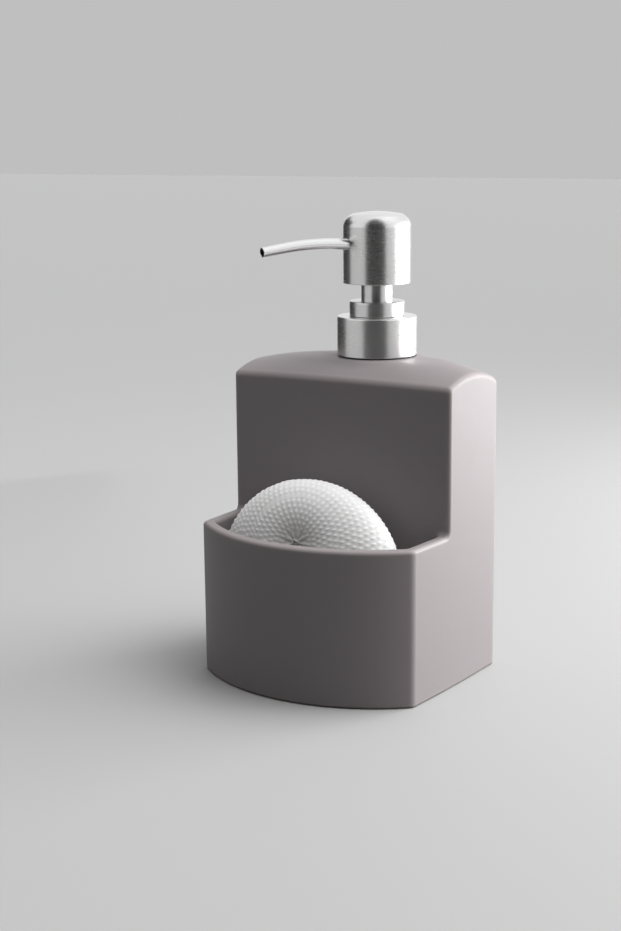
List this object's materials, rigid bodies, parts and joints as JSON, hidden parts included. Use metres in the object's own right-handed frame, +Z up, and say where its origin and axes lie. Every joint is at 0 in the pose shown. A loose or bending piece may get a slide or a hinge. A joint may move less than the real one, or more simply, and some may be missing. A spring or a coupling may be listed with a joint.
{
  "type": "soap pump caddy",
  "caption": "Ceramic lotion bottle with an open sponge pocket in front, a steel-clad press pump that unscrews and a round mesh-covered sponge.",
  "frame": {"origin": "centre of the part's box on the surface that it stands on", "axes": "+Z up, the sponge pocket faces -Y, +X to the right seen from the front"},
  "size_m": [0.1024, 0.105, 0.1868],
  "materials": {
    "glazed_body": "matte",
    "neck_plastic": "matte",
    "gasket_rubber": "matte",
    "closure_plastic": "matte",
    "collar_steel": "satin",
    "guide_plastic": "matte",
    "ring_steel": "satin",
    "cylinder_plastic": "gloss",
    "tube_plastic": "gloss",
    "valve_steel": "polished",
    "spring_steel": "satin",
    "piston_plastic": "satin",
    "stem_steel": "satin",
    "head_plastic": "matte",
    "head_steel": "satin",
    "spout_steel": "satin",
    "sponge_foam": "matte",
    "sponge_mesh": "matte"
  },
  "bodies": {
    "caddy": {"ceramic_body": "glazed_body", "neck_insert": "neck_plastic"},
    "pump": {"pump_cylinder": "cylinder_plastic", "neck_gasket": "gasket_rubber", "guide_ring": "guide_plastic", "ring_sleeve": "ring_steel", "dip_tube": "tube_plastic", "ball_cage": "cylinder_plastic", "return_spring": "spring_steel"},
    "closure": {"screw_closure": "closure_plastic", "collar_sleeve": "collar_steel"},
    "plunger": {"piston_rod": "cylinder_plastic", "piston_seal": "piston_plastic"},
    "head": {"head_core": "head_plastic", "head_shell": "head_steel", "stem_sleeve": "stem_steel", "spout_tube": "spout_steel", "spout_liner": "head_plastic"},
    "inlet_valve": {"inlet_ball": "valve_steel"},
    "outlet_valve": {"outlet_ball": "valve_steel"},
    "sponge": {"sponge_core": "sponge_foam", "sponge_cover": "sponge_mesh", "sponge_knot": "sponge_mesh"}
  },
  "joints": [
    {"name": "pump_lift", "type": "slide", "parent": "caddy", "child": "pump", "axis": [0, 0, 1], "range_m": [0, 0.135]},
    {"name": "closure_turn", "type": "hinge", "parent": "pump", "child": "closure", "pos_m": [0, 0.02402, 0.136], "axis": [0, 0, 1], "range_deg": [0, 450]},
    {"name": "head_press", "type": "slide", "parent": "pump", "child": "plunger", "axis": [0, 0, -1], "range_m": [0, 0.013], "stiffness_N_per_m": 60, "springref_m": -0.012, "deforming": ["return_spring"]},
    {"name": "head_swivel", "type": "hinge", "parent": "plunger", "child": "head", "pos_m": [0, 0.02402, 0.16], "axis": [0, 0, 1], "continuous": true},
    {"name": "inlet_ball_lift", "type": "slide", "parent": "pump", "child": "inlet_valve", "axis": [0, 0, 1], "range_m": [0, 0.0015]},
    {"name": "outlet_ball_lift", "type": "slide", "parent": "plunger", "child": "outlet_valve", "axis": [0, 0, 1], "range_m": [0, 0.0015]},
    {"name": "sponge_lift", "type": "slide", "parent": "caddy", "child": "sponge", "axis": [0, 0, 1], "range_m": [0, 0.08]}
  ]
}
